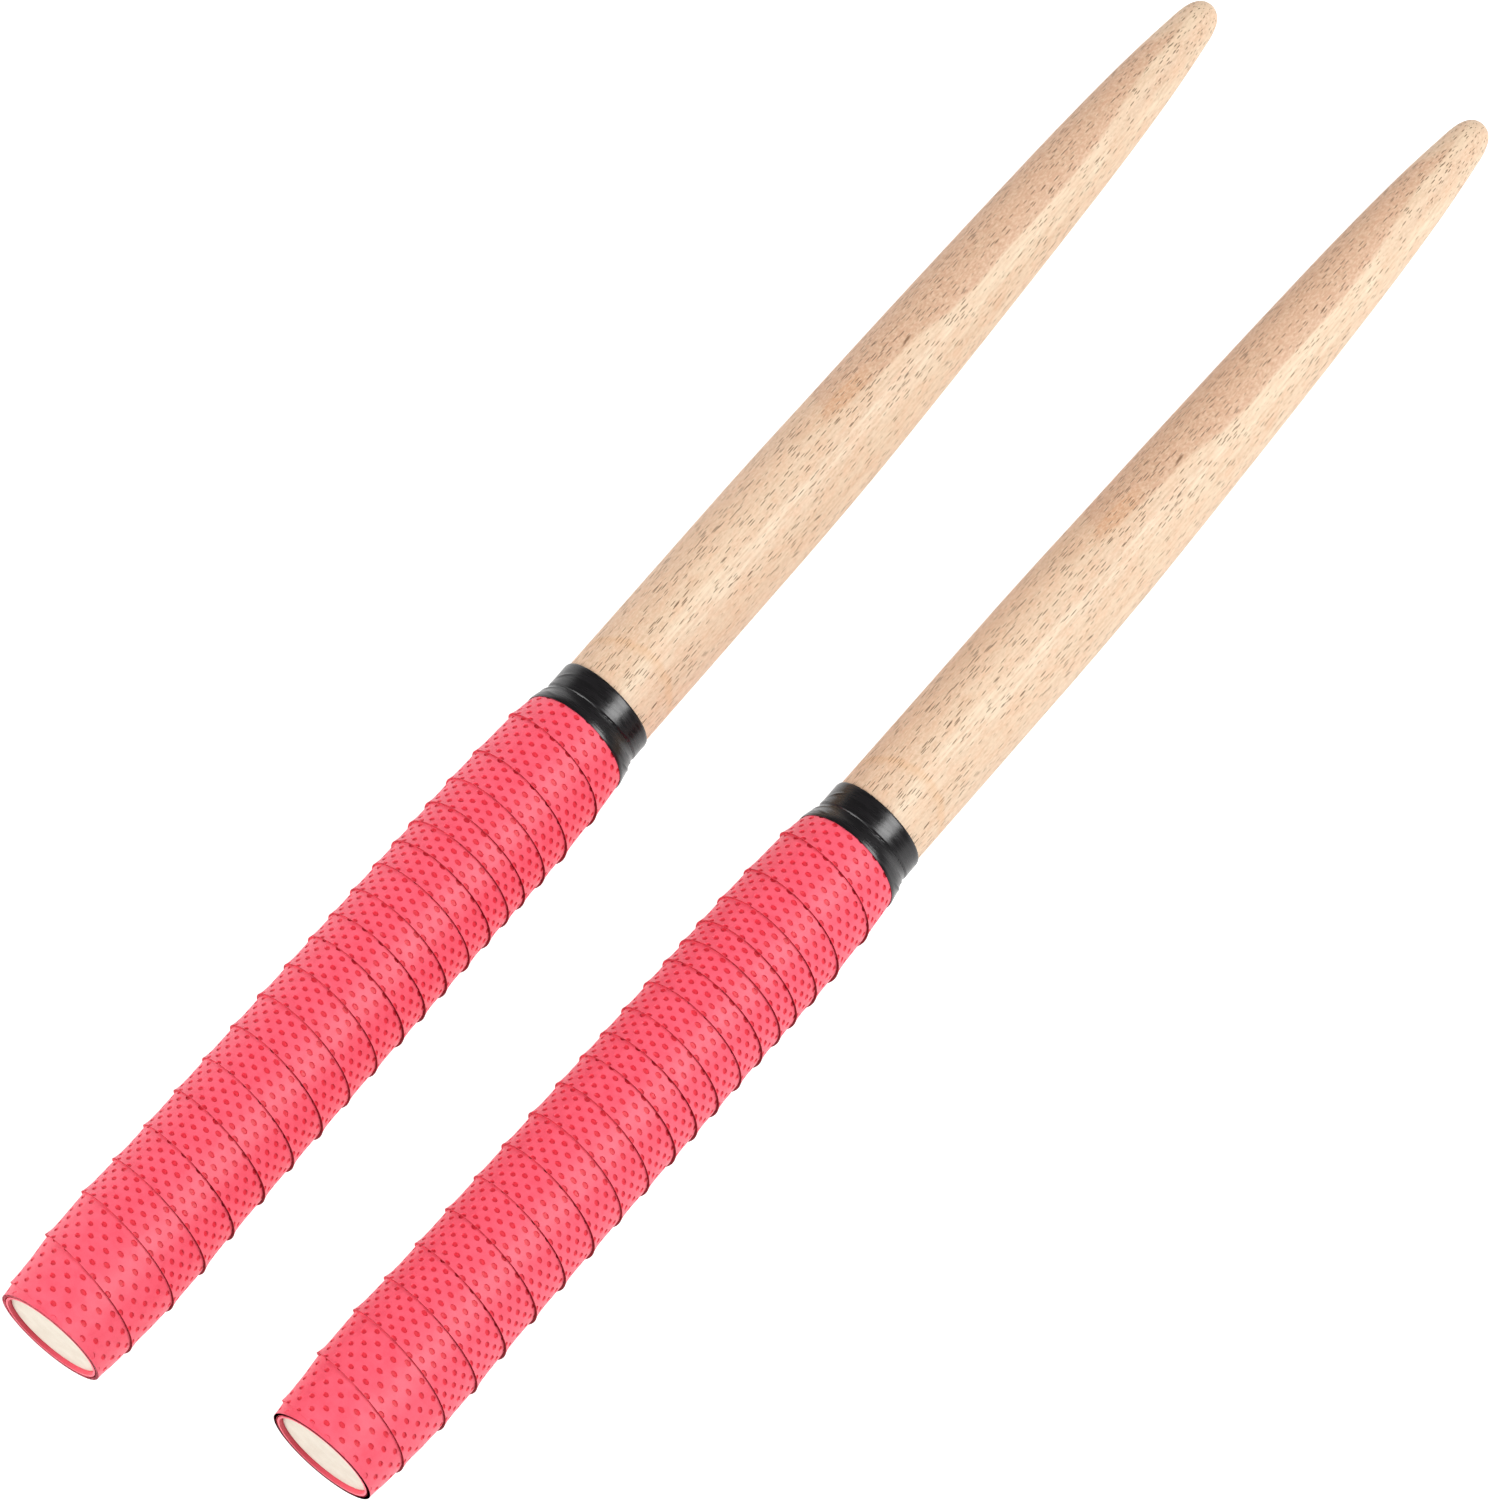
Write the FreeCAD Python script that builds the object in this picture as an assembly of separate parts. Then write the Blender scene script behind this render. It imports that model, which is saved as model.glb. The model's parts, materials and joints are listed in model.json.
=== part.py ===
"""A pair of short hardwood training sticks with wound grips.

Each stick is a turned wooden core, a perforated grip tape wound round its lower part as a
left-handed overlapping helix, and a ring of black finishing tape over the end of the grip tape.
The sticks lie side by side on a surface, butt ends towards -Y and noses towards +Y, +Z up.
Millimetres. The origin is at the bottom centre of the pair's bounding box.
"""
import FreeCAD, Part
import math
import os

os.makedirs("parts", exist_ok=True)

Vector = FreeCAD.Vector

# Wooden core: a plain dowel that tapers to a rounded nose.
stick_length = 350.0
core_radius = 10.1
butt_chamfer = 0.3
taper_start = 206.0
nose_start = 344.0
nose_radius = 4.2
tip_lean = 1.4
lean_start = 232.0

# The taper's radius at stations along the stick, from the end of the dowel to the nose.
taper_outline = (
    (taper_start, core_radius), (226.0, 9.88), (246.0, 9.4), (268.0, 8.72), (290.0, 7.92),
    (312.0, 6.95), (330.0, 5.72), (nose_start, nose_radius),
)
taper_end_slope = -0.14
nose_poles = (
    (nose_start, nose_radius), (346.8, 3.8), (stick_length, 3.0), (stick_length, 0.0),
)

# Grip tape: one strip wound from the butt upwards, each turn lapping the one before it.
rim_overhang = 0.8
tape_end = 153.2
turns_lapped = 3
tape_fill = 0.82
tape_clearance = 0.05
seam_angle = math.radians(10.0)
turn_pitches = (
    10.4, 11.0, 8.6, 8.6, 8.9, 8.4, 8.4, 8.1, 7.8, 7.4, 6.0, 6.3, 6.7, 6.0, 5.3, 4.8, 6.1, 6.8,
    9.7, 8.0,
)

# How far each turn's edge strays from an even helix, by turn number: away from the seam, and to
# either side of it.
bow = ((0.0, -0.4), (5.0, -0.2), (8.0, 0.4), (12.0, 0.4), (16.0, 0.8), (20.0, 0.8))
sway = ((0.0, 0.3), (8.0, 0.3), (12.0, 0.05), (16.0, 0.0), (20.0, 0.0))

# Outer radius of the wound grip along the stick.
grip_outline = (
    (-rim_overhang, 11.45), (4.0, 12.2), (10.0, 12.8), (24.0, 13.2), (37.0, 12.9), (110.0, 12.9),
    (130.0, 13.0), (142.0, 12.6), (148.0, 12.2), (151.5, 11.6), (tape_end, 10.9),
)

# Finishing tape: a thin ring that closes the grip. Its outer radius along the stick has a small
# step where the second wrap ends.
finish_start = 151.8
finish_end = 160.6
finish_clearance = 0.08
finish_outline = (
    (finish_start, 11.85), (153.3, 11.3), (154.8, 10.85), (155.4, 10.76), (155.5, 10.58),
    (finish_end, 10.38),
)

# How the second stick lies beside the first.
pair_offset_x = 52.2
pair_offset_y = 14.3
pair_angle = 0.6

samples_per_turn = 20
samples_across = 7


def smooth(outline, x):
    """A smooth curve through the outline's points, flat at its first and last point."""
    last = len(outline) - 1
    if x <= outline[0][0]:
        return outline[0][1]
    if x >= outline[last][0]:
        return outline[last][1]
    i = max(k for k in range(last) if outline[k][0] <= x)
    (x0, y0), (x1, y1) = outline[i], outline[i + 1]
    span = x1 - x0
    m0 = slope(outline, i)
    m1 = slope(outline, i + 1)
    s = (x - x0) / span
    return (
        y0 * (1 + 2 * s) * (1 - s) ** 2 + y1 * s * s * (3 - 2 * s)
        + span * (m0 * s * (1 - s) ** 2 - m1 * s * s * (1 - s))
    )


def slope(outline, i):
    """The slope of the smooth curve at one of the outline's points."""
    if i in (0, len(outline) - 1):
        return 0.0
    (x0, y0), (x1, y1) = outline[i - 1], outline[i + 1]
    return (y1 - y0) / (x1 - x0)


def turn_starts():
    """Where each turn's leading edge lies along the stick, by turn number."""
    at = [(-1.0, -rim_overhang - turn_pitches[0]), (0.0, -rim_overhang)]
    for number, pitch in enumerate(turn_pitches, 1):
        at.append((float(number), at[-1][1] + pitch))
    return at


edges = turn_starts()
turn_count = len(turn_pitches)


def edge_at(turn):
    """Position along the stick of the tape's leading edge after this many turns."""
    angle = 2 * math.pi * turn
    stray = smooth(bow, turn) * (math.cos(angle) - 1) + smooth(sway, turn) * math.sin(angle)
    fade = min(max(2 * turn, 0.0), 1.0) * min(max(turn_count - turn, 0.0), 1.0)
    return smooth(edges, turn) + fade * stray


def revolved(outline):
    """A solid turned about the stick's axis, +Y, from (radius, position) points in order."""
    points = [Vector(radius, position, 0) for radius, position in outline]
    wire = Part.makePolygon(points + [points[0]])
    return Part.Face(wire).revolve(Vector(0, 0, 0), Vector(0, 1, 0), 360)


def make_core():
    """The turned core: a plain dowel, then a taper and nose that lean to one side."""
    dowel = revolved((
        (0, 0), (core_radius - butt_chamfer, 0), (core_radius, butt_chamfer),
        (core_radius, taper_start), (0, taper_start),
    ))

    taper = Part.BSplineCurve()
    taper.interpolate(
        Points=[Vector(radius, position, 0) for position, radius in taper_outline],
        InitialTangent=Vector(0, 1, 0),
        FinalTangent=Vector(taper_end_slope, 1, 0),
    )
    nose = Part.BezierCurve()
    nose.setPoles([Vector(radius, position, 0) for position, radius in nose_poles])
    tip = Vector(0, stick_length, 0)
    base = Vector(0, taper_start, 0)
    outline = Part.Wire([
        Part.LineSegment(base, Vector(core_radius, taper_start, 0)).toShape(),
        taper.toShape(),
        nose.toShape(),
        Part.LineSegment(tip, base).toShape(),
    ])
    turned = Part.Face(outline).revolve(Vector(0, 0, 0), Vector(0, 1, 0), 360)

    straight_box = Part.makeBox(40, lean_start - taper_start, 40, Vector(-20, taper_start, -20))
    leaning_box = Part.makeBox(40, 140, 40, Vector(-20, lean_start, -20))
    shear = FreeCAD.Matrix()
    shear.A12 = -tip_lean / (stick_length - lean_start)
    shear.A14 = -shear.A12 * lean_start
    leaning = turned.common(leaning_box).transformGeometry(shear)
    return dowel.fuse([turned.common(straight_box), leaning])


def tape_point(turn, across, side):
    """A point of the wound strip: after this many turns, this far across it, 0 to 1.

    The strip spans several pitches, so it lies on the core at its hidden edge and on the turns
    before it at its leading edge. It is cut to a taper at both ends.
    """
    first = max(0.0, -turn)
    last = min(float(turns_lapped), turn_count - turn)
    lap = first + across * (last - first)
    position = edge_at(turn + lap)
    inner = core_radius + tape_clearance
    layer = (smooth(grip_outline, position) - inner) / (turns_lapped + 1)
    top = inner + layer * (turns_lapped + 1 - lap)
    radius = top if side == "outer" else top - tape_fill * layer
    radius *= 3 / (2 + math.cos(2 * math.pi / samples_per_turn))
    angle = seam_angle - 2 * math.pi * turn
    return Vector(radius * math.sin(angle), position, radius * math.cos(angle))


def clamped_knots(count):
    """Knots and multiplicities of a clamped cubic spline with this many poles."""
    knots = [float(i) for i in range(count - 2)]
    return knots, [4] + [1] * (len(knots) - 2) + [4]


def strip_surface(side):
    """The strip's outer or inner surface: a cubic spline surface over a grid of its points."""
    start = 0.1 - turns_lapped
    end = turn_count - 0.1
    steps = int(samples_per_turn * (end - start))
    grid = [
        [
            tape_point(start + (end - start) * i / steps, j / (samples_across - 1), side)
            for j in range(samples_across)
        ]
        for i in range(steps + 1)
    ]
    along_knots, along_mults = clamped_knots(steps + 1)
    across_knots, across_mults = clamped_knots(samples_across)
    surface = Part.BSplineSurface()
    surface.buildFromPolesMultsKnots(
        grid, along_mults, across_mults, along_knots, across_knots, False, False, 3, 3
    )
    return surface


def make_grip_tape():
    """The perforated grip tape as one long wound strip, closed along its edges and ends."""
    outer = strip_surface("outer")
    inner = strip_surface("inner")
    faces = [outer.toShape(), inner.toShape()]
    u0, u1, v0, v1 = outer.bounds()
    a0, a1, b0, b1 = inner.bounds()
    for rim, back in (
        (outer.uIso(u0), inner.uIso(a0)), (outer.uIso(u1), inner.uIso(a1)),
        (outer.vIso(v0), inner.vIso(b0)), (outer.vIso(v1), inner.vIso(b1)),
    ):
        faces.append(Part.makeRuledSurface(rim.toShape(), back.toShape()))
    shell = Part.makeShell(faces)
    shell.sewShape()
    solid = Part.makeSolid(shell)
    if solid.Volume < 0:
        solid.reverse()
    return solid


def make_finishing_tape():
    """The finishing tape: a ring that runs from the grip down on to the bare wood."""
    grip_side = smooth(grip_outline, finish_start) + finish_clearance
    end_side = smooth(grip_outline, tape_end) + finish_clearance
    wood = core_radius + finish_clearance
    inside = (
        (grip_side, finish_start), (end_side, tape_end + finish_clearance),
        (wood, tape_end + 1.4), (wood, finish_end),
    )
    outside = [(radius, position) for position, radius in reversed(finish_outline)]
    return revolved([*inside, *outside])


def placed(shape, offset_x, offset_y, angle):
    """The shape moved to where its stick lies."""
    copy = shape.copy()
    copy.rotate(Vector(0, 0, 0), Vector(0, 0, 1), -angle)
    copy.translate(Vector(offset_x, offset_y, 0))
    return copy


stick = {
    "core": make_core(),
    "grip_tape": make_grip_tape(),
    "finishing_tape": make_finishing_tape(),
}
places = {"left": (0, 0, 0), "right": (pair_offset_x, pair_offset_y, pair_angle)}
nodes = {
    side + "_" + name: placed(shape, *place)
    for side, place in places.items()
    for name, shape in stick.items()
}

box = Part.makeCompound(list(nodes.values())).optimalBoundingBox(False)
shift = Vector(-(box.XMin + box.XMax) / 2, -(box.YMin + box.YMax) / 2, -box.ZMin)
for name, shape in nodes.items():
    shape.translate(shift)
    shape.exportStep("parts/" + name + ".step")
    print(name, shape.isValid(), len(shape.Solids), "solid", round(shape.Volume, 1), "mm3")
print("left butt centre", [round(value, 3) for value in shift])
print("size", [round(value, 2) for value in (box.XLength, box.YLength, box.ZLength)])
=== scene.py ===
"""The looks of a pair of hardwood training sticks with wound grips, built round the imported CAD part.

Every piece is built in its stick's own coordinates, in millimetres: +Y runs from the butt to the
nose, +Z is up, and the angle round the stick is counted from +Z towards +X.
"""

import json
import math
import random

import bpy
import numpy as np
from mathutils import Matrix, Vector


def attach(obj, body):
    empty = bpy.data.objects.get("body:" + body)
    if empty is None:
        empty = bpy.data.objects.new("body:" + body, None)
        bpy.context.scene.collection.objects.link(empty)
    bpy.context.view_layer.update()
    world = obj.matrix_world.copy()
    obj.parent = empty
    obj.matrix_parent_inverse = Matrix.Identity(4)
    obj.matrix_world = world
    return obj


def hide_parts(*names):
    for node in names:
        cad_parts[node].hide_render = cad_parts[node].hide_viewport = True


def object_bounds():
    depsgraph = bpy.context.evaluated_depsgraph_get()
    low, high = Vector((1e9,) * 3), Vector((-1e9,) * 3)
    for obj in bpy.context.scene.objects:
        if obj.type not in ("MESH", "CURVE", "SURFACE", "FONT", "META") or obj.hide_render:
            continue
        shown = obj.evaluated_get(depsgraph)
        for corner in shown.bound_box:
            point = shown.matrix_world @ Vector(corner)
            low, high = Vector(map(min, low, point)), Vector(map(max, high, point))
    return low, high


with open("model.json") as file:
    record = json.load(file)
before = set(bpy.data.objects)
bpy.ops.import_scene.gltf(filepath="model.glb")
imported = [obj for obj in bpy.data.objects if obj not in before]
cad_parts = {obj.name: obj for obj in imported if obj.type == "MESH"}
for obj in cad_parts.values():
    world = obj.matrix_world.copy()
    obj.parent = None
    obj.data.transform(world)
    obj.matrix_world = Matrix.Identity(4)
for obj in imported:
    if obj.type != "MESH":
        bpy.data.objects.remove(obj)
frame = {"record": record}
cad_low, cad_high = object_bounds()
record = frame["record"]
mounts = {mount["name"]: mount for mount in record["mounts"]}

MM = 0.001
TURN = 2 * math.pi
UP = Vector((0, 0, 1))

# The wooden core. Outlines are (place along the stick, radius).
CORE_RADIUS = 10.1
CORE_LENGTH = 350.0
BUTT_CHAMFER = 0.3
BUTT_ROUNDING = (0.1, 0.08)
TAPER_START = 206.0
NOSE_START = 344.0
TAPER = (
    (TAPER_START, CORE_RADIUS), (226.0, 9.88), (246.0, 9.4), (268.0, 8.72), (290.0, 7.92),
    (312.0, 6.95), (330.0, 5.72), (NOSE_START, 4.2), (350.0, 3.3),
)
NOSE = ((NOSE_START, 4.2), (346.8, 3.8), (CORE_LENGTH, 3.0), (CORE_LENGTH, 0.0))
LEAN_START = 232.0
TIP_LEAN = 1.4
CORE_SIDES = 128
CORE_FIRST = 2.0
CORE_STEP = 1.5
BUTT_FLAT = 0.01
BUTT_STEPS = 8
NOSE_STEPS = 16

# The wound grip tape: where its turns lie. BOW and SWAY say how far a turn's edge strays from an
# even helix, by turn number: away from the seam, and to either side of it.
RIM = -0.8
TAPE_END = 153.2
SEAM_ANGLE = math.radians(10.0)
PITCHES = (
    10.4, 11.0, 8.6, 8.6, 8.9, 8.4, 8.4, 8.1, 7.8, 7.4, 6.0, 6.3, 6.7, 6.0, 5.3, 4.8, 6.1, 6.8,
    9.7, 8.0,
)
BOW = ((0.0, -0.4), (5.0, -0.2), (8.0, 0.4), (12.0, 0.4), (16.0, 0.8), (20.0, 0.8))
SWAY = ((0.0, 0.3), (8.0, 0.3), (12.0, 0.05), (16.0, 0.0), (20.0, 0.0))
LEAD_IN = -1.3
NO_NEXT_TURN = 30.0

# The shape of the grip tape: the whole grip's outline, and across each turn a raised lip at its
# leading edge and a tuck under the next turn's edge.
GRIP_SURFACE = (
    (RIM, 11.45), (4.0, 11.95), (9.0, 12.25), (13.0, 12.6), (24.0, 12.85), (37.0, 12.5),
    (110.0, 12.5), (130.0, 12.6), (142.0, 12.2), (148.0, 11.8), (151.5, 11.3), (TAPE_END, 10.7),
)
LIP = 0.46
LIP_LENGTH = 1.2
LIP_STARTS = (0.3, 3.0)
LIP_ENDS = (146.5, 150.5)
LIP_RIPPLE = 0.25
LAP = 1.5
TUCK_STEP = 0.02
TUCK = 0.46
EDGE_HEIGHT = 0.54
THICKNESS = 0.5
LAPPED_THICKNESS = 0.1
GRIP_CLEARANCE = 0.06

# The hidden layers under the strip: a sleeve whose butt end shows as two cut edges with a groove.
SLEEVE_SIDES = 120
SLEEVE_CLEARANCE = 0.03
SLEEVE_DEPTH = 0.62
SLEEVE_LEAST = 0.05
SLEEVE_FIRST = 2.0
SLEEVE_STEP = 4.0
SLEEVE_END = 152.0
GROOVE_WALLS = (0.45, 0.5, 0.66, 0.72)
GROOVE_DEPTH = 0.5
GROOVE_ROWS = (1, 2, 3)
RIM_BEVEL = ((0.0, 0.08), (0.1, 0.02))

# Perforations, on a staggered lattice along and across the tape. A hole has a cell of four columns
# to itself, every other row is offset by half a cell, and the tape is stretched wider in places.
ROW_STEP = 2.07
CELL_WIDTH = 2.4
CELL_COLUMNS = 4
COLUMNS = 23
STRETCHED_CELL = (
    (0.0, 3.55), (1.0, 3.25), (2.0, 2.5), (3.0, 2.42), (8.0, 2.38), (13.0, 2.25), (16.0, 2.15),
    (18.5, 2.4), (20.0, 2.45),
)
FIRST_HOLE = 0.2
HOLE_HALF_WIDTH = 0.52
HOLE_HALF_LENGTH = 0.74
HOLE_RINGS = ((1.0, 0.0), (0.8, 0.24))
HOLE_DEPTH = 0.3
HOLE_SIDES = 12
HOLE_HIDDEN = 0.9
EDGE_MARGIN = 0.03
HOLES_FROM = RIM - 0.35
HOLES_TO = 152.5

# The finishing tape. Its edges are given as (middle, sideways slant, front slant), and its creases
# as (angle, half width in degrees, place, tilt in mm per 10 degrees, height).
FINISH_GRIP_EDGE = (150.45, -0.65, 1.35)
FINISH_TIP_EDGE = (160.4, -0.7, 0.0)
FINISH_RADIUS = ((149.0, 11.92), (151.5, 11.5), (153.0, 11.15), (155.2, 10.42), (163.0, 10.4))
FINISH_SIDES = 240
FINISH_STATIONS = 64
FINISH_THICKNESS = 0.16
FINISH_CLEARANCE = 0.02
WRAP_STEP = 155.4
WRAP_SLANT = 1.1
WRAP_HEIGHT = 0.18
WRAP_HALF_WIDTH = 0.08
WRAP_GROOVE = 0.1
WRAP_GROOVE_WIDTH = 0.12
EDGE_DROP = 0.1
GRIP_EDGE_SHARE = 0.05
TIP_EDGE_SHARE = 0.04
CREASE_WIDTH = 0.28
CREASES = (
    (-78.0, 16.0, 154.3, 0.35, 0.22), (-66.0, 12.0, 157.9, 0.5, 0.16),
    (-58.0, 10.0, 153.1, -0.3, 0.12), (74.0, 14.0, 152.6, 0.45, 0.2),
    (86.0, 12.0, 154.6, 0.5, 0.18), (63.0, 9.0, 154.1, 0.35, 0.1),
    (150.0, 25.0, 153.6, 0.3, 0.14), (-140.0, 22.0, 157.0, 0.4, 0.12),
)

# Edges of a mesh are shaded sharp over these many degrees.
SHARP_CORE = 50
SHARP_GRIP = 50
SHARP_FINISH = 60

# The view, in metres: the camera looks at a place between the sticks, AIM millimetres from the
# left butt.
AZIMUTH = math.radians(-27.29)
ELEVATION = math.radians(68.96)
ROLL = math.radians(12.06)
DISTANCE = 1.626
LENS = 207.9
SENSOR = 36.0
AIM = Vector((26.094, 170.598, 0.0))
TARGET = Vector(mounts["left_butt"]["pos_m"]) + AIM * MM

# The studio, in metres: a white table, a sky that is bright at the horizon, and two soft lights,
# given as (direction, distance, width, height, power in watts).
FLOOR_REACH = 6.0
FLOOR_GAP = 0.0001
SKY_ABOVE = 0.2
SKY_HORIZON = 0.9
SKY_EDGE = 0.25
LIGHTS = {
    "key": ((0.516, 0.319, 0.794), 1.5, 0.75, 1.1, 24.5),
    "fill": ((-0.55, -0.7, 0.45), 1.6, 1.2, 1.2, 23.5),
}


def smooth(outline, x):
    """A smooth curve through the outline's points, flat at its first and last point."""
    last = len(outline) - 1
    if x <= outline[0][0]:
        return outline[0][1]
    if x >= outline[last][0]:
        return outline[last][1]
    i = max(k for k in range(last) if outline[k][0] <= x)
    (x0, y0), (x1, y1) = outline[i], outline[i + 1]
    span = x1 - x0
    m0 = slope(outline, i)
    m1 = slope(outline, i + 1)
    s = (x - x0) / span
    return (
        y0 * (1 + 2 * s) * (1 - s) ** 2 + y1 * s * s * (3 - 2 * s)
        + span * (m0 * s * (1 - s) ** 2 - m1 * s * s * (1 - s))
    )


def slope(outline, i):
    """The slope of the smooth curve at one of the outline's points."""
    if i in (0, len(outline) - 1):
        return 0.0
    (x0, y0), (x1, y1) = outline[i - 1], outline[i + 1]
    return (y1 - y0) / (x1 - x0)


def ramp(low, high, x):
    """0 below low, 1 above high, with a smooth rise between."""
    s = min(max((x - low) / (high - low), 0.0), 1.0)
    return s * s * (3 - 2 * s)


def stick_matrix(side):
    """Where a stick's own coordinates lie, from its butt mount."""
    butt = mounts[side + "_butt"]
    along = -Vector(butt["axis"]).normalized()
    matrix = Matrix((along.cross(UP), along, UP)).transposed().to_4x4()
    matrix.translation = Vector(butt["pos_m"])
    return matrix


def build(name, points, faces, sharp_over):
    """A smooth mesh from points in millimetres, its edges sharp over this many degrees."""
    mesh = bpy.data.meshes.new(name)
    mesh.from_pydata([(x * MM, y * MM, z * MM) for x, y, z in points], [], faces)
    mesh.shade_smooth()
    mesh.set_sharp_from_angle(angle=math.radians(sharp_over))
    return mesh


def round_point(angle, along, radius):
    """A point at this angle round the stick."""
    return (radius * math.sin(angle), along, radius * math.cos(angle))


# The core ------------------------------------------------------------------------------------

def core_radius(along):
    """The wood's radius at a place along the straight part or the taper."""
    return CORE_RADIUS if along <= TAPER_START else smooth(TAPER, along)


def core_outline():
    """(place along the stick, radius) from the butt to the tip."""
    outline = [(0.0, CORE_RADIUS * k / BUTT_STEPS) for k in range(BUTT_STEPS)]
    outline += [(0.0, CORE_RADIUS - BUTT_CHAMFER)]
    outline += [(BUTT_ROUNDING[0], CORE_RADIUS - BUTT_ROUNDING[1])]
    outline += [(BUTT_CHAMFER, CORE_RADIUS)]
    stations = np.arange(CORE_FIRST, NOSE_START, CORE_STEP)
    outline += [(along, core_radius(along)) for along in stations]
    for k in range(NOSE_STEPS):
        t = k / NOSE_STEPS
        weights = ((1 - t) ** 3, 3 * t * (1 - t) ** 2, 3 * t * t * (1 - t), t ** 3)
        along = sum(w * p[0] for w, p in zip(weights, NOSE))
        radius = sum(w * p[1] for w, p in zip(weights, NOSE))
        outline.append((along, radius))
    return outline


def make_core_mesh():
    """The turned wooden core, its tapered part leaning slightly to one side."""
    points = []
    faces = []
    outline = core_outline()
    for along, radius in outline:
        lean = -TIP_LEAN * max(along - LEAN_START, 0.0) / (CORE_LENGTH - LEAN_START)
        for i in range(CORE_SIDES):
            x, y, z = round_point(TURN * i / CORE_SIDES, along, radius)
            points.append((x + lean, y, z))
    for row in range(len(outline) - 1):
        a = row * CORE_SIDES
        b = a + CORE_SIDES
        for i in range(CORE_SIDES):
            j = (i + 1) % CORE_SIDES
            if outline[row][1] > 0:
                faces.append((a + i, a + j, b + j, b + i))
            else:
                faces.append((a, b + j, b + i))
    tip = len(points)
    points.append((-TIP_LEAN, CORE_LENGTH, 0.0))
    last = (len(outline) - 1) * CORE_SIDES
    faces += [(last + i, last + (i + 1) % CORE_SIDES, tip) for i in range(CORE_SIDES)]
    return build("core", points, faces, SHARP_CORE)


# The grip tape -------------------------------------------------------------------------------

def turn_starts():
    """Where each turn's leading edge lies along the stick, by turn number."""
    at = [(-1.0, RIM - PITCHES[0]), (0.0, RIM)]
    for number, pitch in enumerate(PITCHES, 1):
        at.append((float(number), at[-1][1] + pitch))
    return at


EDGES = turn_starts()
TURN_COUNT = len(PITCHES)
RIPPLE_COUNT = 9
RIPPLE_SHARE = 0.25
RIPPLE_PHASE = 2.0
rng = random.Random(11)
RIPPLES = [
    (rng.uniform(0.6, 3.6), rng.uniform(0, TURN), rng.uniform(0.5, 1.0))
    for _ in range(RIPPLE_COUNT)
]


def ripple(turn):
    """A slow irregular variation along the tape, about -1 to 1."""
    return RIPPLE_SHARE * sum(
        size * math.sin(TURN * rate * turn + phase + RIPPLE_PHASE)
        for rate, phase, size in RIPPLES
    )


def edge_at(turn):
    """Place along the stick of the tape's leading edge after this many turns."""
    if turn < 0:
        return RIM + PITCHES[0] * turn
    bow = smooth(BOW, turn) * (math.cos(TURN * turn) - 1)
    sway = smooth(SWAY, turn) * math.sin(TURN * turn)
    fade = ramp(0.0, 0.5, turn) * min(max(TURN_COUNT - turn, 0.0), 1.0)
    return smooth(EDGES, turn) + fade * (bow + sway)


def pitch_at(turn):
    """How far the next turn's edge is from this one's. The last turn has no next one."""
    if turn < TURN_COUNT - 1:
        return edge_at(turn + 1) - edge_at(turn)
    return NO_NEXT_TURN


def stretch_at(turn):
    """How much wider the strip's pattern is here than where the tape lies slack."""
    return smooth(STRETCHED_CELL, turn) / CELL_WIDTH


def tape_radius(turn, across, pitch):
    """Outer radius of the strip at a place across it: a lip, a flat, and a tuck under the next."""
    along = edge_at(turn) + across
    radius = smooth(GRIP_SURFACE, along)
    lip = LIP * (1 + LIP_RIPPLE * ripple(turn)) * (1 - ramp(*LIP_ENDS, along))
    lip *= ramp(*LIP_STARTS, edge_at(turn))
    radius += lip * math.exp(-across / LIP_LENGTH)
    beyond = across - pitch
    if beyond > 0:
        radius -= TUCK_STEP + TUCK * (1 - math.exp(-beyond / LIP_LENGTH))
    return radius


class Strip:
    """The wound strip as it is built: its points, how much painted hole shade each point takes, its
    faces and which faces are cut edges.
    """

    def __init__(self):
        self.points = []
        self.pit_shades = []
        self.faces = []
        self.cuts = []

    def face(self, *corners, cut=False):
        """Adds a face, which may be one of the tape's cut edges."""
        self.faces.append(corners)
        self.cuts.append(int(cut))

    def point(self, turn, across, depth=0.0, pit_shade=0.0):
        """Adds a point at a place along and across the strip, in millimetres below its top, with its
        share of painted hole shade.
        """
        girth = TURN * smooth(GRIP_SURFACE, edge_at(turn))
        step = 0.01
        tilt = math.atan2((edge_at(turn + step) - edge_at(turn - step)) / (2 * step), girth)
        pitch = pitch_at(turn)
        across = min(across, pitch + LAP)
        along = edge_at(turn) + across * math.cos(tilt)
        radius = tape_radius(turn, across, pitch) - depth
        shifted = turn - across * math.sin(tilt) / girth
        angle = SEAM_ANGLE - TURN * shifted
        along = min(max(along, RIM), TAPE_END)
        radius = max(radius, CORE_RADIUS + GRIP_CLEARANCE)
        self.points.append(round_point(angle, along, radius))
        self.pit_shades.append(pit_shade)
        return len(self.points) - 1


def tape_rows():
    """The turn number of each row of holes, at even steps along the tape."""
    rows = [LEAD_IN]
    while rows[-1] < TURN_COUNT:
        here = smooth(GRIP_SURFACE, edge_at(rows[-1]))
        rows.append(rows[-1] + ROW_STEP / (TURN * here))
    return rows


def add_hole(strip, rim, turn, across, turn_per_mm):
    """Fills a cell of the lattice with a sunk hole. Its rim has as many points as the hole."""
    before = rim
    for share, depth in HOLE_RINGS:
        ring = []
        for k in range(HOLE_SIDES):
            direction = math.pi + TURN * k / HOLE_SIDES
            place = max(across + share * HOLE_HALF_WIDTH * math.cos(direction), EDGE_MARGIN)
            reach = share * HOLE_HALF_LENGTH * math.sin(direction) * turn_per_mm
            # Points sunk below the tape's top take the full painted hole shade.
            ring.append(strip.point(turn + reach, place, depth, 1.0 if depth else 0.0))
        for k in range(HOLE_SIDES):
            n = (k + 1) % HOLE_SIDES
            strip.face(before[k], before[n], ring[n], ring[k])
        before = ring
    centre = strip.point(turn, across, HOLE_DEPTH, 1.0)
    for k in range(HOLE_SIDES):
        strip.face(before[k], before[(k + 1) % HOLE_SIDES], centre)


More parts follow.
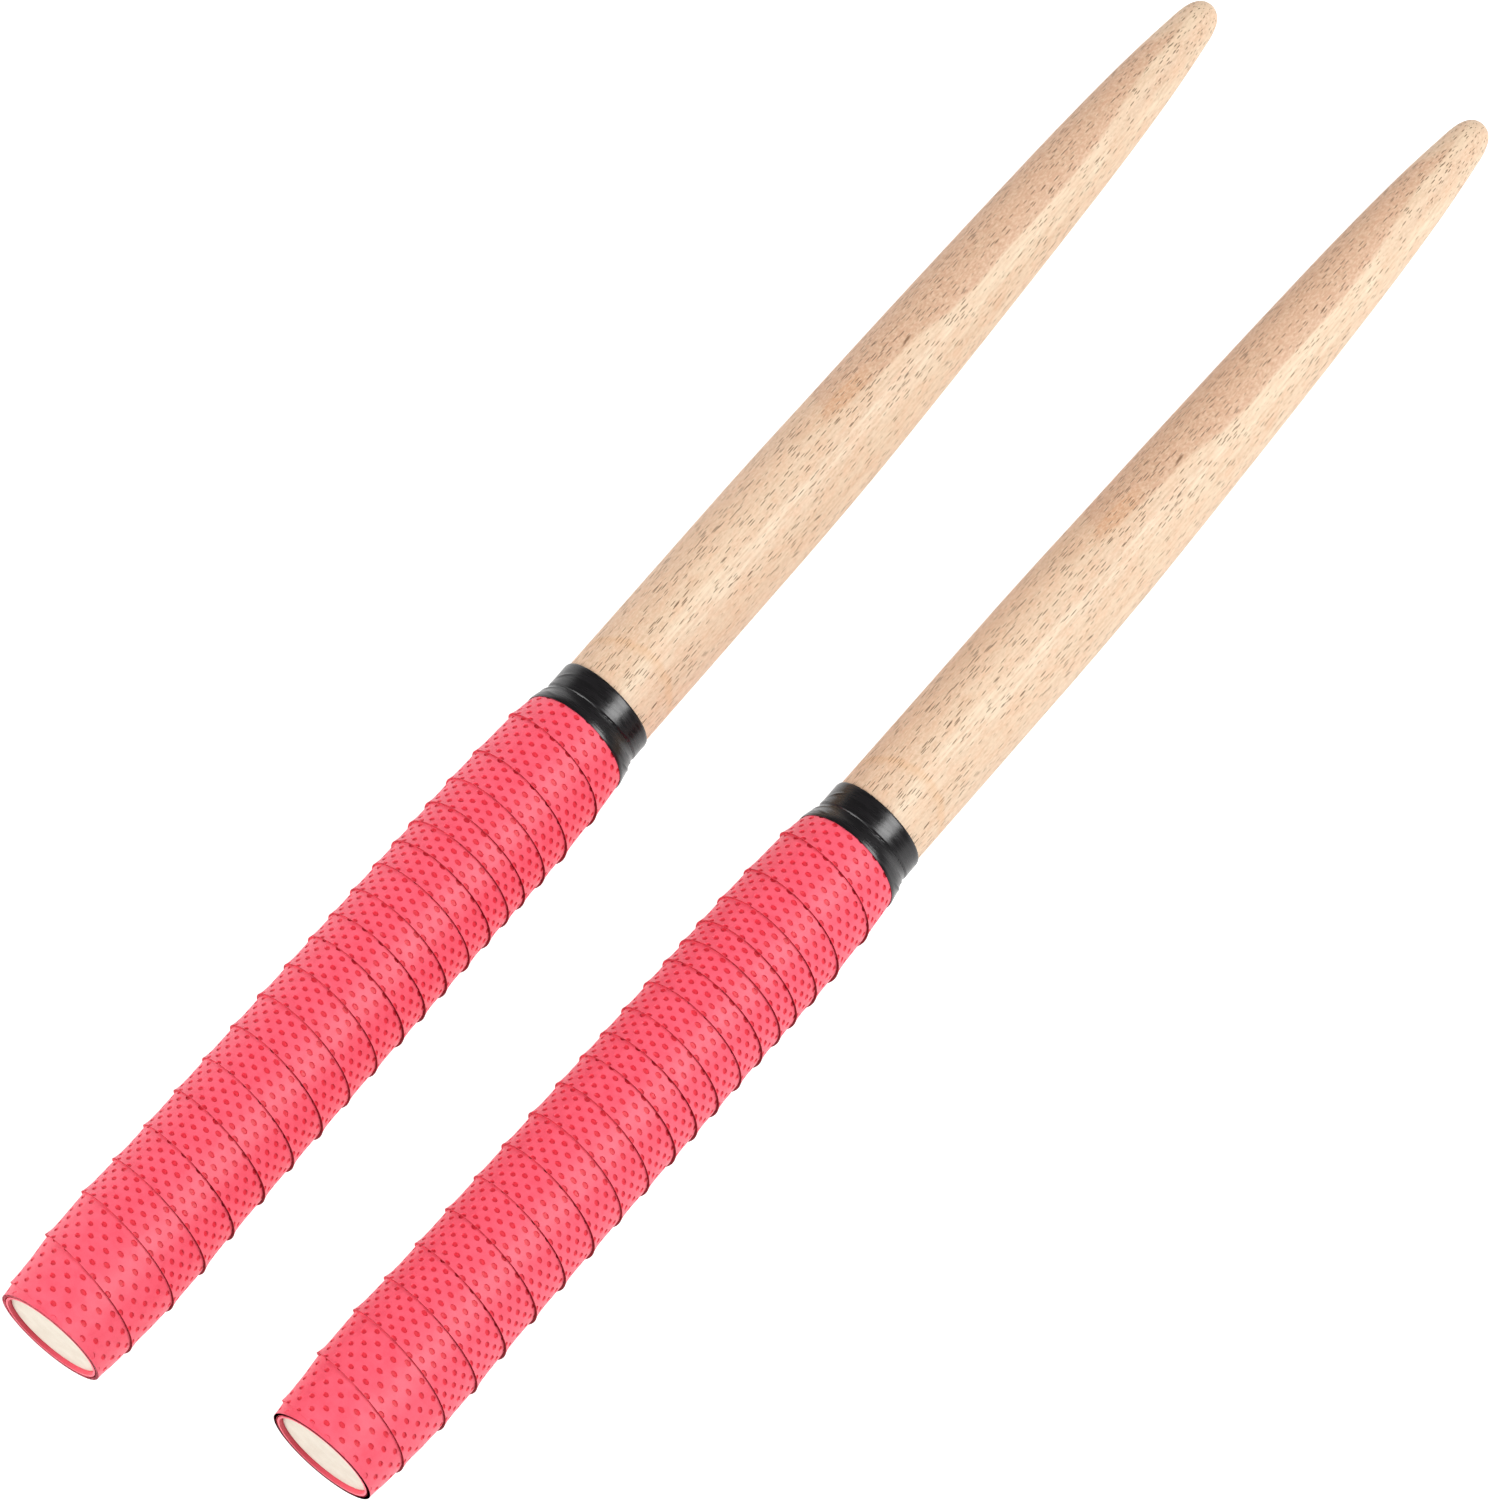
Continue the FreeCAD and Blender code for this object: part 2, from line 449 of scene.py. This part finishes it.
def make_grip_mesh():
    """The perforated strip, wound in one long helix over a plain sleeve of its hidden layers."""
    strip = Strip()
    rows = tape_rows()
    spacing = CELL_WIDTH / CELL_COLUMNS
    first = FIRST_HOLE - CELL_WIDTH / 2
    places = [max(first + spacing * k, 0.0) for k in range(COLUMNS)]

    bounds = [rows[0] - (rows[1] - rows[0]) / 2]
    bounds += [(a + b) / 2 for a, b in zip(rows, rows[1:])]
    bounds.append(rows[-1] + (rows[-1] - rows[-2]) / 2)
    lines = [[strip.point(turn, place * stretch_at(turn)) for place in places] for turn in bounds]
    undersides = [underside(strip, turn, places[-1] * stretch_at(turn)) for turn in bounds]

    for number, turn in enumerate(rows):
        low, high = lines[number], lines[number + 1]
        offset = 0 if number % 2 == 0 else CELL_COLUMNS // 2
        stations = sorted({0, COLUMNS - 1, *range(offset, COLUMNS, CELL_COLUMNS)})
        stretch = stretch_at(turn)
        middle = {k: strip.point(turn, places[k] * stretch) for k in stations}
        turn_per_mm = 1 / (TURN * smooth(GRIP_SURFACE, edge_at(turn)))
        for a, b in zip(stations, stations[1:]):
            side = [low[k] for k in range(a, b + 1)]
            back = [high[k] for k in range(b, a - 1, -1)]
            rim = [middle[a], *side, middle[b], *back]
            across = (first + spacing * (a + CELL_COLUMNS // 2)) * stretch
            along = edge_at(turn) + across
            whole = b - a == CELL_COLUMNS and across < pitch_at(turn) + HOLE_HIDDEN
            if whole and HOLES_FROM < along < HOLES_TO:
                add_hole(strip, rim, turn, across, turn_per_mm)
            else:
                strip.face(*rim)
        near, far = undersides[number], undersides[number + 1]
        strip.face(low[0], middle[0], high[0], far[0], near[0], cut=True)
        strip.face(high[-1], middle[COLUMNS - 1], low[-1], near[-1], far[-1])
        for k in range(len(near) - 1):
            strip.face(near[k], far[k], far[k + 1], near[k + 1])
    strip.face(*undersides[0], *reversed(lines[0]))
    strip.face(*reversed(undersides[-1]), *lines[-1])

    add_sleeve(strip)
    mesh = build("grip_tape", strip.points, strip.faces, SHARP_GRIP)
    # The painted hole shade of each point, read by the grip's material.
    attribute = mesh.attributes.new("pit_shade", "FLOAT", "POINT")
    attribute.data.foreach_set("value", strip.pit_shades)
    mesh.polygons.foreach_set("material_index", strip.cuts)
    return mesh


def underside(strip, turn, width):
    """Points across the strip's hidden side, which thins where the next turn laps it."""
    stations = (
        (0.0, EDGE_HEIGHT), (LAP, EDGE_HEIGHT), (pitch_at(turn), THICKNESS),
        (width, LAPPED_THICKNESS),
    )
    return [strip.point(turn, across, depth) for across, depth in stations]


def sleeve_outline():
    """(radius, place along the stick) round the section of the sleeve."""
    inner = CORE_RADIUS + SLEEVE_CLEARANCE
    least = inner + SLEEVE_LEAST
    rim = smooth(GRIP_SURFACE, RIM)
    wall_a, floor_a, floor_b, wall_b = (inner + wall for wall in GROOVE_WALLS)
    outline = [
        (inner, RIM), (wall_a, RIM), (floor_a, RIM + GROOVE_DEPTH),
        (floor_b, RIM + GROOVE_DEPTH), (wall_b, RIM),
    ]
    outline += [(rim - inset, RIM + rise) for rise, inset in RIM_BEVEL]
    for along in np.arange(SLEEVE_FIRST, SLEEVE_END - SLEEVE_FIRST, SLEEVE_STEP):
        outline.append((max(smooth(GRIP_SURFACE, along) - SLEEVE_DEPTH, least), along))
    return outline + [(least, SLEEVE_END), (inner, SLEEVE_END)]


def add_sleeve(strip):
    """The tape's hidden layers: a closed sleeve on the wood, with two edges at its rim."""
    outline = sleeve_outline()
    start = len(strip.points)
    for radius, along in outline:
        for i in range(SLEEVE_SIDES):
            strip.points.append(round_point(TURN * i / SLEEVE_SIDES, along, radius))
            strip.pit_shades.append(0.0)
    for row in range(len(outline)):
        a = start + row * SLEEVE_SIDES
        b = start + (row + 1) % len(outline) * SLEEVE_SIDES
        for i in range(SLEEVE_SIDES):
            j = (i + 1) % SLEEVE_SIDES
            strip.face(a + i, a + j, b + j, b + i, cut=row in GROOVE_ROWS)


# The finishing tape --------------------------------------------------------------------------

def finish_edge(values, angle):
    """Where an edge of the finishing tape lies at this angle round the stick."""
    middle, sideways, front = values
    facing = angle - SEAM_ANGLE
    return middle + sideways * math.sin(facing) + front * math.cos(facing)


def finish_radius(along, angle, share):
    """The finishing tape's outer radius, with its second wrap's edge and small creases."""
    facing = math.degrees(angle - SEAM_ANGLE)
    facing = (facing + 180) % 360 - 180
    radius = smooth(FINISH_RADIUS, along)
    step = WRAP_STEP + WRAP_SLANT * math.sin(math.radians(facing) / 2) ** 2
    radius += WRAP_HEIGHT * ramp(step - WRAP_HALF_WIDTH, step + WRAP_HALF_WIDTH, along)
    groove = step - 2 * WRAP_HALF_WIDTH
    radius -= WRAP_GROOVE * math.exp(-(((along - groove) / WRAP_GROOVE_WIDTH) ** 2))
    for middle, width, place, tilt, height in CREASES:
        bend = math.exp(-(((facing - middle) / width) ** 2))
        line = along - place - tilt * (facing - middle) / 10
        radius += height * bend * math.exp(-((line / CREASE_WIDTH) ** 2))
    radius -= EDGE_DROP * (1 - ramp(0.0, GRIP_EDGE_SHARE, share))
    radius -= EDGE_DROP * ramp(1 - TIP_EDGE_SHARE, 1.0, share)
    return radius


def finish_point(angle, share, inside):
    """A point of the band at this angle and this share of the way across, on either side."""
    low = finish_edge(FINISH_GRIP_EDGE, angle)
    high = finish_edge(FINISH_TIP_EDGE, angle)
    along = low + share * (high - low)
    radius = finish_radius(along, angle, share)
    if inside:
        radius = max(radius - FINISH_THICKNESS, CORE_RADIUS + FINISH_CLEARANCE)
    return round_point(angle, along, radius)


def make_finish_mesh():
    """The black finishing tape: a closed band, thin at both edges."""
    shares = [j / FINISH_STATIONS for j in range(FINISH_STATIONS + 1)]
    rings = [(share, False) for share in shares]
    rings += [(share, True) for share in reversed(shares)]
    points = [
        finish_point(TURN * i / FINISH_SIDES, share, inside)
        for share, inside in rings
        for i in range(FINISH_SIDES)
    ]
    faces = []
    for row in range(len(rings)):
        a = row * FINISH_SIDES
        b = (row + 1) % len(rings) * FINISH_SIDES
        for i in range(FINISH_SIDES):
            j = (i + 1) % FINISH_SIDES
            faces.append((a + i, b + i, b + j, a + j))
    return build("finishing_tape", points, faces, SHARP_FINISH)


# Materials -----------------------------------------------------------------------------------

class Nodes:
    """A material's node tree, with short ways to add and join nodes."""

    def __init__(self, name):
        self.material = bpy.data.materials.new(name)
        self.material.use_nodes = True
        self.tree = self.material.node_tree
        self.shader = self.tree.nodes["Principled BSDF"]

    def link(self, value, socket):
        """Joins an output to a socket, or sets the socket's value."""
        if isinstance(value, bpy.types.NodeSocket):
            self.tree.links.new(value, socket)
        else:
            socket.default_value = value

    def new(self, kind, **settings):
        """Adds a node with these settings."""
        node = self.tree.nodes.new(kind)
        for key, value in settings.items():
            setattr(node, key, value)
        return node

    def math(self, operation, *values):
        """A math node on values or outputs."""
        node = self.new("ShaderNodeMath", operation=operation)
        for value, socket in zip(values, node.inputs):
            self.link(value, socket)
        return node.outputs[0]

    def product(self, first, *others):
        """Two or more values multiplied."""
        for other in others:
            first = self.math("MULTIPLY", first, other)
        return first

    def span(self, value, low, high, first=0.0, last=1.0):
        """Value mapped from low..high to first..last with a smooth rise, held outside."""
        node = self.new("ShaderNodeMapRange", interpolation_type="SMOOTHSTEP")
        for number, item in enumerate((value, low, high, first, last)):
            self.link(item, node.inputs[number])
        return node.outputs[0]

    def mix(self, amount, first, second):
        """Two colours mixed."""
        node = self.new("ShaderNodeMix", data_type="RGBA")
        self.link(amount, node.inputs[0])
        self.link(first, node.inputs[6])
        self.link(second, node.inputs[7])
        return node.outputs[2]

    def scaled(self, vector, scale, turn=(0, 0, 0)):
        """The vector turned, then scaled."""
        node = self.new("ShaderNodeMapping", vector_type="TEXTURE")
        node.inputs["Rotation"].default_value = turn
        node.inputs["Scale"].default_value = [1 / s for s in scale]
        self.link(vector, node.inputs[0])
        return node.outputs[0]

    def noise(self, place, per_mm, detail=3.0, roughness=0.5):
        """Noise, about 0 to 1, with this many features per millimetre each way."""
        node = self.new("ShaderNodeTexNoise")
        node.inputs["Scale"].default_value = 1.0
        node.inputs["Detail"].default_value = detail
        node.inputs["Roughness"].default_value = roughness
        self.link(self.scaled(place, per_mm), node.inputs["Vector"])
        return node.outputs["Fac"]

    def scatter(self, place, per_mm, turn=(0, 0, 0)):
        """Distance to scattered points, with this many points per millimetre each way."""
        node = self.new("ShaderNodeTexVoronoi")
        node.inputs["Scale"].default_value = 1.0
        self.link(self.scaled(place, per_mm, turn), node.inputs["Vector"])
        return node.outputs["Distance"]

    def oval(self, place, centre, half_size):
        """Distance squared from a centre, 1 at the rim of an oval, from (across, along)."""
        squares = []
        for value, middle, half in zip(place, centre, half_size):
            share = self.math("DIVIDE", self.math("SUBTRACT", value, middle), half)
            squares.append(self.math("POWER", share, 2.0))
        return self.math("ADD", *squares)

    def bump(self, height, millimetres, strength):
        """A bump from a height."""
        node = self.new("ShaderNodeBump")
        node.inputs["Strength"].default_value = strength
        node.inputs["Distance"].default_value = millimetres * MM
        self.link(height, node.inputs["Height"])
        return node.outputs["Normal"]

    def stick_place(self):
        """The place in the stick in millimetres: (across, along, depth), depth facing the seam."""
        coordinates = self.new("ShaderNodeTexCoord").outputs["Object"]
        return self.scaled(coordinates, (1 / MM,) * 3, (0, SEAM_ANGLE, 0))

    def parts(self, vector):
        """The vector's three parts."""
        node = self.new("ShaderNodeSeparateXYZ")
        self.link(vector, node.inputs[0])
        return tuple(node.outputs)

    def surface(self, colour, roughness, specular, normal):
        """Sets the shader's main inputs, and gives the material."""
        self.link(colour, self.shader.inputs["Base Color"])
        self.link(roughness, self.shader.inputs["Roughness"])
        self.shader.inputs["Specular IOR Level"].default_value = specular
        self.link(normal, self.shader.inputs["Normal"])
        return self.material


# Colours of the materials, and the places of the wood's larger marks as (across, along) in mm.
WOOD = {
    "plain": (0.70, 0.53, 0.38, 1),
    "cloud": (0.64, 0.46, 0.325, 1),
    "pale": (0.80, 0.70, 0.53, 1),
    "darker_side": (0.58, 0.34, 0.225, 1),
    "patch": (0.70, 0.43, 0.28, 1),
    "streak": (0.78, 0.65, 0.47, 1),
    "figure": (0.55, 0.315, 0.205, 1),
    "figure stain": (0.60, 0.30, 0.15, 1),
    "grain": (0.50, 0.33, 0.21, 1),
    "speck": (0.80, 0.62, 0.45, 1),
    "fine fleck": (0.36, 0.22, 0.12, 1),
    "fleck": (0.14, 0.085, 0.045, 1),
    "stain": (0.50, 0.24, 0.12, 1),
    "knot": (0.16, 0.075, 0.035, 1),
    "band": (0.66, 0.36, 0.17, 1),
}
END_GRAIN = {
    "plain": (0.68, 0.62, 0.53, 1),
    "cloud": (0.63, 0.56, 0.47, 1),
    "ray": (0.58, 0.48, 0.38, 1),
    "pore": (0.46, 0.35, 0.26, 1),
}
RED = {
    "plain": (0.82, 0.096, 0.148, 1),
    "mottle": (0.77, 0.074, 0.12, 1),
    "skin": (0.86, 0.13, 0.17, 1),
    # The pit colour is painted shade inside the holes.
    "pit_shade": (0.66, 0.02, 0.04, 1),
    "sheen": (1.0, 0.75, 0.78, 1),
    "cut": (0.64, 0.05, 0.075, 1),
    # The second cut colour is painted shade, for the side where the cut edges lie in shadow.
    "shaded cut": (0.31, 0.008, 0.019, 1),
    "fibre": (0.16, 0.003, 0.008, 1),
}
BLACK = {"plain": (0.0035, 0.003, 0.0035, 1), "smear": (0.006, 0.005, 0.006, 1)}
FIGURE_STAIN = (-5.0, 235.5)
FIGURE_STAIN_HALF = (1.7, 7.0)
KNOT = (-2.8, 252.3)
KNOT_HALF = (0.5, 1.25)
BAND_ALONG = 170.5
BAND_CURVE = 0.035
BAND_WARP = 0.7
WARP = 3.4


def wood_figure(n, bent, along, front):
    """Amounts of the darker figure on the taper and of the pale streak along its lower edge.

    The figure's lower edge rises towards the middle of the taper and falls to the tip. Its upper
    edge leaves the stick's near side at once and comes back over it near the tip.
    """
    lower = n.math(
        "ADD", n.span(along, 227.0, 273.0, -3.9, 0.3), n.span(along, 297.0, 351.0, 0.0, -4.0)
    )
    upper = n.math(
        "ADD", n.span(along, 227.0, 237.0, -3.9, -12.5), n.span(along, 317.0, 342.5, 0.0, 8.9)
    )
    below = n.math("SUBTRACT", bent, lower)
    above = n.math("SUBTRACT", bent, upper)
    figure = n.product(
        n.span(below, -0.5, 0.25, 1.0, 0.0), n.span(above, -0.3, 0.8),
        n.span(along, 225.0, 232.0), front,
    )
    streak = n.product(
        n.span(below, 0.0, 0.5), n.span(below, 1.2, 3.4, 1.0, 0.0),
        n.span(along, 226.0, 262.0), front,
    )
    return figure, streak


def wood_flecks(n, place, across):
    """Amounts of the long dark flecks, larger in places and on one side, and of the fine ones."""
    wander = n.noise(place, (0.35, 0.06, 0.35), 2.0)
    size = n.math(
        "ADD", n.span(wander, 0.3, 0.65, 0.16, 0.26), n.span(across, -8.0, 6.0, 0.05, 0.0)
    )
    near = n.scatter(place, (2.8, 0.25, 2.8), (math.radians(1), 0, math.radians(1.5)))
    flecks = n.span(n.math("SUBTRACT", near, size), -0.05, 0.005, 1.0, 0.0)
    near = n.scatter(place, (2.9, 0.34, 2.9), (0, 0, math.radians(2)))
    return flecks, n.span(near, 0.12, 0.26, 1.0, 0.0)


def wood_band(n, across, along, warp, front):
    """Amount of the faint curved band beside the finishing tape."""
    arc = n.math("SUBTRACT", along, BAND_ALONG)
    arc = n.math("ADD", arc, n.product(across, across, BAND_CURVE))
    arc = n.math("ADD", arc, n.product(warp, BAND_WARP))
    return n.product(n.span(arc, -2.4, -0.2), n.span(arc, -0.2, 1.0, 1.0, 0.0), front)


def beech_material():
    """Pale steamed beech with short dark flecks, a figure on the taper and a pin knot."""
    n = Nodes("beech")
    place = n.stick_place()
    across, along, depth = n.parts(place)
    front = n.span(depth, -1.0, 2.0)
    warp = n.noise(place, (0.3, 0.035, 0.3), 4.0)
    warp = n.product(n.math("SUBTRACT", warp, 0.5), WARP)
    bent = n.math("ADD", across, warp)
    figure, streak = wood_figure(n, bent, along, front)

    grain = n.noise(place, (2.2, 0.06, 2.2), 4.0, 0.65)
    cloud = n.noise(place, (0.20, 0.02, 0.20), 3.0, 0.55)
    patch = n.noise(place, (0.55, 0.22, 0.55), 3.0, 0.6)
    speck = n.noise(place, (2.4, 1.2, 2.4), 2.0, 0.6)
    colour = n.mix(n.span(cloud, 0.35, 0.68), WOOD["plain"], WOOD["cloud"])
    pale = n.math("SUBTRACT", bent, n.span(along, 180.0, 300.0, 0.4, 2.6))
    pale = n.product(
        n.span(pale, -1.4, 0.2), n.span(pale, 0.6, 4.0, 1.0, 0.2),
        n.span(grain, 0.3, 0.65, 0.65, 0.25),
    )
    colour = n.mix(pale, colour, WOOD["pale"])
    # Darker and pinker along one side of the stick, fading out near the tip.
    darker_side = n.product(
        n.span(across, -9.0, -2.0, 0.55, 0.0), n.span(along, 328.0, 343.0, 1.0, 0.0)
    )
    colour = n.mix(darker_side, colour, WOOD["darker_side"])
    colour = n.mix(n.span(patch, 0.35, 0.7, 0.0, 0.5), colour, WOOD["patch"])
    colour = n.mix(n.product(streak, 0.35), colour, WOOD["streak"])
    colour = n.mix(n.product(figure, 0.78), colour, WOOD["figure"])
    stained = n.oval((bent, along), FIGURE_STAIN, FIGURE_STAIN_HALF)
    stained = n.product(n.span(stained, 0.0, 1.8, 0.5, 0.0), front)
    colour = n.mix(stained, colour, WOOD["figure stain"])
    colour = n.mix(n.span(grain, 0.35, 0.75, 0.0, 0.5), colour, WOOD["grain"])
    colour = n.mix(n.span(speck, 0.35, 0.75, 0.0, 0.45), colour, WOOD["speck"])

    flecks, fine = wood_flecks(n, place, across)
    colour = n.mix(n.product(fine, 0.42), colour, WOOD["fine fleck"])
    colour = n.mix(n.product(flecks, 0.85), colour, WOOD["fleck"])
    stains = n.span(n.scatter(place, (0.11, 0.05, 0.11)), 0.02, 0.2, 0.22, 0.0)
    colour = n.mix(stains, colour, WOOD["stain"])
    knot = n.span(n.oval((bent, along), KNOT, KNOT_HALF), 0.1, 1.5, 0.8, 0.0)
    colour = n.mix(n.product(knot, front), colour, WOOD["knot"])
    band = wood_band(n, across, along, warp, front)
    colour = n.mix(n.product(band, 0.3), colour, WOOD["band"])

    height = n.math("SUBTRACT", n.product(grain, 0.5), flecks)
    roughness = n.span(grain, 0.2, 0.8, 0.5, 0.62)
    return n.surface(colour, roughness, 0.3, n.bump(height, 0.08, 0.7))


def end_grain_material():
    """The sawn butt: cream, with small pores."""
    n = Nodes("end_grain")
    place = n.stick_place()
    pores = n.span(n.scatter(place, (2.6, 2.6, 2.6)), 0.12, 0.3, 1.0, 0.0)
    cloud = n.noise(place, (0.3, 0.3, 0.3))
    rays = n.noise(place, (0.35, 1.0, 3.5))
    colour = n.mix(n.span(cloud, 0.3, 0.7), END_GRAIN["plain"], END_GRAIN["cloud"])
    colour = n.mix(n.span(rays, 0.4, 0.75, 0.0, 0.3), colour, END_GRAIN["ray"])
    colour = n.mix(n.product(pores, 0.25), colour, END_GRAIN["pore"])
    height = n.math("SUBTRACT", rays, pores)
    return n.surface(colour, 0.75, 0.3, n.bump(height, 0.05, 0.5))


def grip_material():
    """Soft red perforated overgrip: matt, slightly mottled, with painted shade darkening the holes."""
    n = Nodes("grip_tape")
    place = n.stick_place()
    pit_shade = n.new("ShaderNodeAttribute", attribute_name="pit_shade").outputs["Fac"]
    mottle = n.noise(place, (0.35, 0.35, 0.35), 3.0, 0.6)
    skin = n.noise(place, (4.0, 4.0, 4.0), 3.0, 0.65)
    colour = n.mix(n.span(mottle, 0.3, 0.7), RED["plain"], RED["mottle"])
    colour = n.mix(n.span(skin, 0.35, 0.7, 0.0, 0.3), colour, RED["skin"])
    # Painted shade: the holes' floors and walls are coloured darker, as if in shadow.
    colour = n.mix(n.span(pit_shade, 0.0, 1.0, 0.0, 0.9), colour, RED["pit_shade"])
    n.shader.inputs["Sheen Weight"].default_value = 0.08
    n.shader.inputs["Sheen Roughness"].default_value = 0.4
    n.shader.inputs["Sheen Tint"].default_value = RED["sheen"]
    return n.surface(colour, n.span(skin, 0.2, 0.8, 0.40, 0.54), 0.35, n.bump(skin, 0.06, 0.6))


def cut_edge_material():
    """The tape's cut edges: the same rubber, darker and rougher, with painted shade making them darker
    still on one side.
    """
    n = Nodes("grip_cut_edge")
    place = n.stick_place()
    across, along, depth = n.parts(place)
    fibre = n.noise(place, (0.9, 0.9, 0.9), 3.0, 0.65)
    # Painted shade: the cut edges darken across the stick towards one side.
    colour = n.mix(n.span(across, -7.0, 7.0), RED["cut"], RED["shaded cut"])
    colour = n.mix(n.span(fibre, 0.42, 0.62, 0.0, 0.5), colour, RED["fibre"])
    return n.surface(colour, 0.75, 0.2, n.bump(fibre, 0.06, 0.6))


def vinyl_material():
    """Glossy black finishing tape, faintly stretched along its length."""
    n = Nodes("finishing_tape")
    place = n.stick_place()
    smear = n.noise(place, (0.25, 1.6, 0.25), 3.0, 0.55)
    grit = n.noise(place, (5.0, 5.0, 5.0), 2.0)
    colour = n.mix(n.span(smear, 0.3, 0.7), BLACK["plain"], BLACK["smear"])
    height = n.math("ADD", smear, n.product(grit, 0.15))
    return n.surface(colour, n.span(smear, 0.3, 0.7, 0.22, 0.32), 0.46, n.bump(height, 0.12, 0.5))


def floor_material():
    """A plain studio table that glows white, so that it throws little colour or shade back."""
    n = Nodes("floor")
    n.shader.inputs["Base Color"].default_value = (0.25, 0.25, 0.25, 1)
    n.shader.inputs["Roughness"].default_value = 0.9
    n.shader.inputs["Specular IOR Level"].default_value = 0.1
    n.shader.inputs["Emission Color"].default_value = (1.0, 1.0, 1.0, 1)
    n.shader.inputs["Emission Strength"].default_value = 1.0
    return n.material


# Putting it together -------------------------------------------------------------------------

core_mesh = make_core_mesh()
core_mesh.materials.append(beech_material())
core_mesh.materials.append(end_grain_material())
for polygon in core_mesh.polygons:
    if polygon.center.y < BUTT_FLAT * MM:
        polygon.material_index = 1

grip_mesh = make_grip_mesh()
grip_mesh.materials.append(grip_material())
grip_mesh.materials.append(cut_edge_material())

finish_mesh = make_finish_mesh()
finish_mesh.materials.append(vinyl_material())

for side in ("left", "right"):
    for name, mesh, slot in (
        ("core", core_mesh, "beech"),
        ("grip_tape", grip_mesh, "grip_tape"),
        ("finishing_tape", finish_mesh, "finishing_tape"),
    ):
        piece = bpy.data.objects.new(side + "_" + name + "_look", mesh)
        bpy.context.scene.collection.objects.link(piece)
        piece.matrix_world = stick_matrix(side)
        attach(piece, side + "_stick")
        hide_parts(side + "_" + name)

low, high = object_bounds()

# Floor, sky, lights and camera ---------------------------------------------------------------

def add_floor(height):
    """A plain table at this height."""
    mesh = bpy.data.meshes.new("floor")
    corners = ((-1, -1), (1, -1), (1, 1), (-1, 1))
    points = [(x * FLOOR_REACH, y * FLOOR_REACH, 0) for x, y in corners]
    mesh.from_pydata(points, [], [(0, 1, 2, 3)])
    mesh.materials.append(floor_material())
    floor = bpy.data.objects.new("floor", mesh)
    floor.location.z = height
    bpy.context.scene.collection.objects.link(floor)


def add_sky():
    """A white sky, bright at the horizon and dim above."""
    world = bpy.data.worlds.new("studio")
    world.use_nodes = True
    tree = world.node_tree
    heading = tree.nodes.new("ShaderNodeTexCoord")
    parts = tree.nodes.new("ShaderNodeSeparateXYZ")
    glow = tree.nodes.new("ShaderNodeMapRange")
    glow.interpolation_type = "SMOOTHSTEP"
    for number, value in enumerate((SKY_EDGE, 0.0, SKY_ABOVE, SKY_HORIZON), 1):
        glow.inputs[number].default_value = value
    background = tree.nodes["Background"]
    background.inputs["Color"].default_value = (1.0, 1.0, 1.0, 1)
    tree.links.new(heading.outputs["Generated"], parts.inputs[0])
    tree.links.new(parts.outputs["Z"], glow.inputs[0])
    tree.links.new(glow.outputs[0], background.inputs["Strength"])
    bpy.context.scene.world = world


def add_light(name, direction, distance, width, height, power):
    """A rectangular light aimed at the pair, its long side along the sticks."""
    data = bpy.data.lights.new(name, "AREA")
    data.shape = "RECTANGLE"
    data.size = width
    data.size_y = height
    data.energy = power
    lamp = bpy.data.objects.new(name, data)
    back = Vector(direction).normalized()
    side = Vector((0, 1, 0)).cross(back).normalized()
    place = Matrix((side, back.cross(side), back)).transposed().to_4x4()
    place.translation = TARGET + back * distance
    lamp.matrix_world = place
    bpy.context.scene.collection.objects.link(lamp)


def add_camera():
    """The camera, looking at its target from this azimuth and elevation, and rolled."""
    forward = Vector((
        math.sin(AZIMUTH) * math.cos(ELEVATION),
        math.cos(AZIMUTH) * math.cos(ELEVATION),
        -math.sin(ELEVATION),
    ))
    level = forward.cross(UP).normalized()
    upright = level.cross(forward)
    right = math.cos(ROLL) * level + math.sin(ROLL) * upright
    top = -math.sin(ROLL) * level + math.cos(ROLL) * upright
    data = bpy.data.cameras.new("camera")
    data.lens = LENS
    data.sensor_width = SENSOR
    camera = bpy.data.objects.new("camera", data)
    place = Matrix((right, top, -forward)).transposed().to_4x4()
    place.translation = TARGET - forward * DISTANCE
    camera.matrix_world = place
    bpy.context.scene.collection.objects.link(camera)
    bpy.context.scene.camera = camera


add_floor(min(cad_low.z, low.z) - FLOOR_GAP)
add_sky()
for name, settings in LIGHTS.items():
    add_light(name, *settings)
add_camera()
bpy.context.scene.view_settings.view_transform = "Standard"
bpy.context.scene.view_settings.look = "None"
